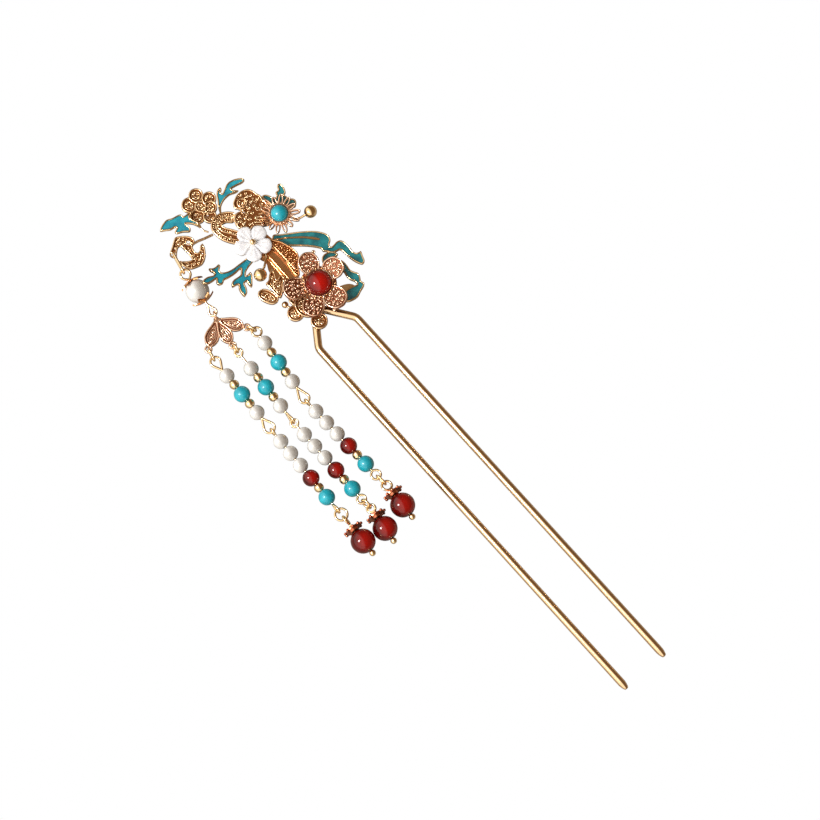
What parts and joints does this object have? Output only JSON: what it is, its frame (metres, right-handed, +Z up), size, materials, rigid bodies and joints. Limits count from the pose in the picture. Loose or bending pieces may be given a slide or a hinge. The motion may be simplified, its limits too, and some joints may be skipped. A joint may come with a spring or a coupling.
{
  "type": "hairpin",
  "caption": "Two-pronged buyao hairpin with a filigree and enamel flower head and hanging strings of beads.",
  "frame": {"origin": "centre of the bounding box on the surface the hairpin lies on", "axes": "+Z up from the surface, prongs along -Y, head towards +Y, strings at -X beside the prongs"},
  "size_m": [0.0524, 0.1684, 0.0086],
  "materials": {
    "fork_gold": "polished gilt wire",
    "filigree_gold": "cast filigree, gilt with dark recesses",
    "tray_gold": "polished gilt rims",
    "rose_gold": "reddish gilt",
    "orange_gold": "smooth orange gilt",
    "wire_gold": "polished gilt",
    "teal_enamel": "glossy teal enamel",
    "dark_enamel": "glossy dark green enamel",
    "shell": "carved white shell",
    "pearl": "nacre",
    "turquoise": "polished",
    "agate": "polished, translucent",
    "red_stone": "polished, translucent"
  },
  "bodies": {
    "root": {"hair_fork": "fork_gold", "filigree_blossom": "filigree_gold", "top_leaf": "tray_gold", "top_leaf_enamel": "teal_enamel", "left_leaf": "tray_gold", "left_leaf_enamel": "teal_enamel", "filigree_loop": "filigree_gold", "hook_plaque": "filigree_gold", "butterfly_wing": "filigree_gold", "daisy": "rose_gold", "daisy_stone": "turquoise", "back_leaf": "tray_gold", "back_leaf_enamel": "dark_enamel", "stamen_right": "wire_gold", "stamen_lower": "wire_gold", "shell_flower": "shell", "shell_pin": "wire_gold", "long_ribbon": "tray_gold", "long_ribbon_enamel": "dark_enamel", "short_ribbon": "tray_gold", "short_ribbon_enamel": "dark_enamel", "filigree_feather": "orange_gold", "gold_leaf": "orange_gold", "small_butterfly": "filigree_gold", "red_flower": "rose_gold", "red_stone": "red_stone", "under_flower": "filigree_gold", "sprig": "tray_gold", "sprig_enamel": "teal_enamel", "hanging_ring": "wire_gold", "pearl_cap_top": "rose_gold", "large_pearl": "pearl", "pearl_cap_bottom": "rose_gold", "pearl_pin": "wire_gold", "fan_plaque": "filigree_gold", "left_pearls": "pearl", "left_turquoise": "turquoise", "left_agate": "agate", "left_spacers": "wire_gold", "left_wires": "wire_gold", "left_drop": "agate", "left_drop_cap": "rose_gold", "left_drop_pin": "wire_gold", "centre_pearls": "pearl", "centre_turquoise": "turquoise", "centre_agate": "agate", "centre_spacers": "wire_gold", "centre_wires": "wire_gold", "centre_drop": "agate", "centre_drop_cap": "rose_gold", "centre_drop_pin": "wire_gold", "right_pearls": "pearl", "right_turquoise": "turquoise", "right_agate": "agate", "right_spacers": "wire_gold", "right_wires": "wire_gold", "right_drop": "agate", "right_drop_cap": "rose_gold", "right_drop_pin": "wire_gold"}
  },
  "joints": []
}
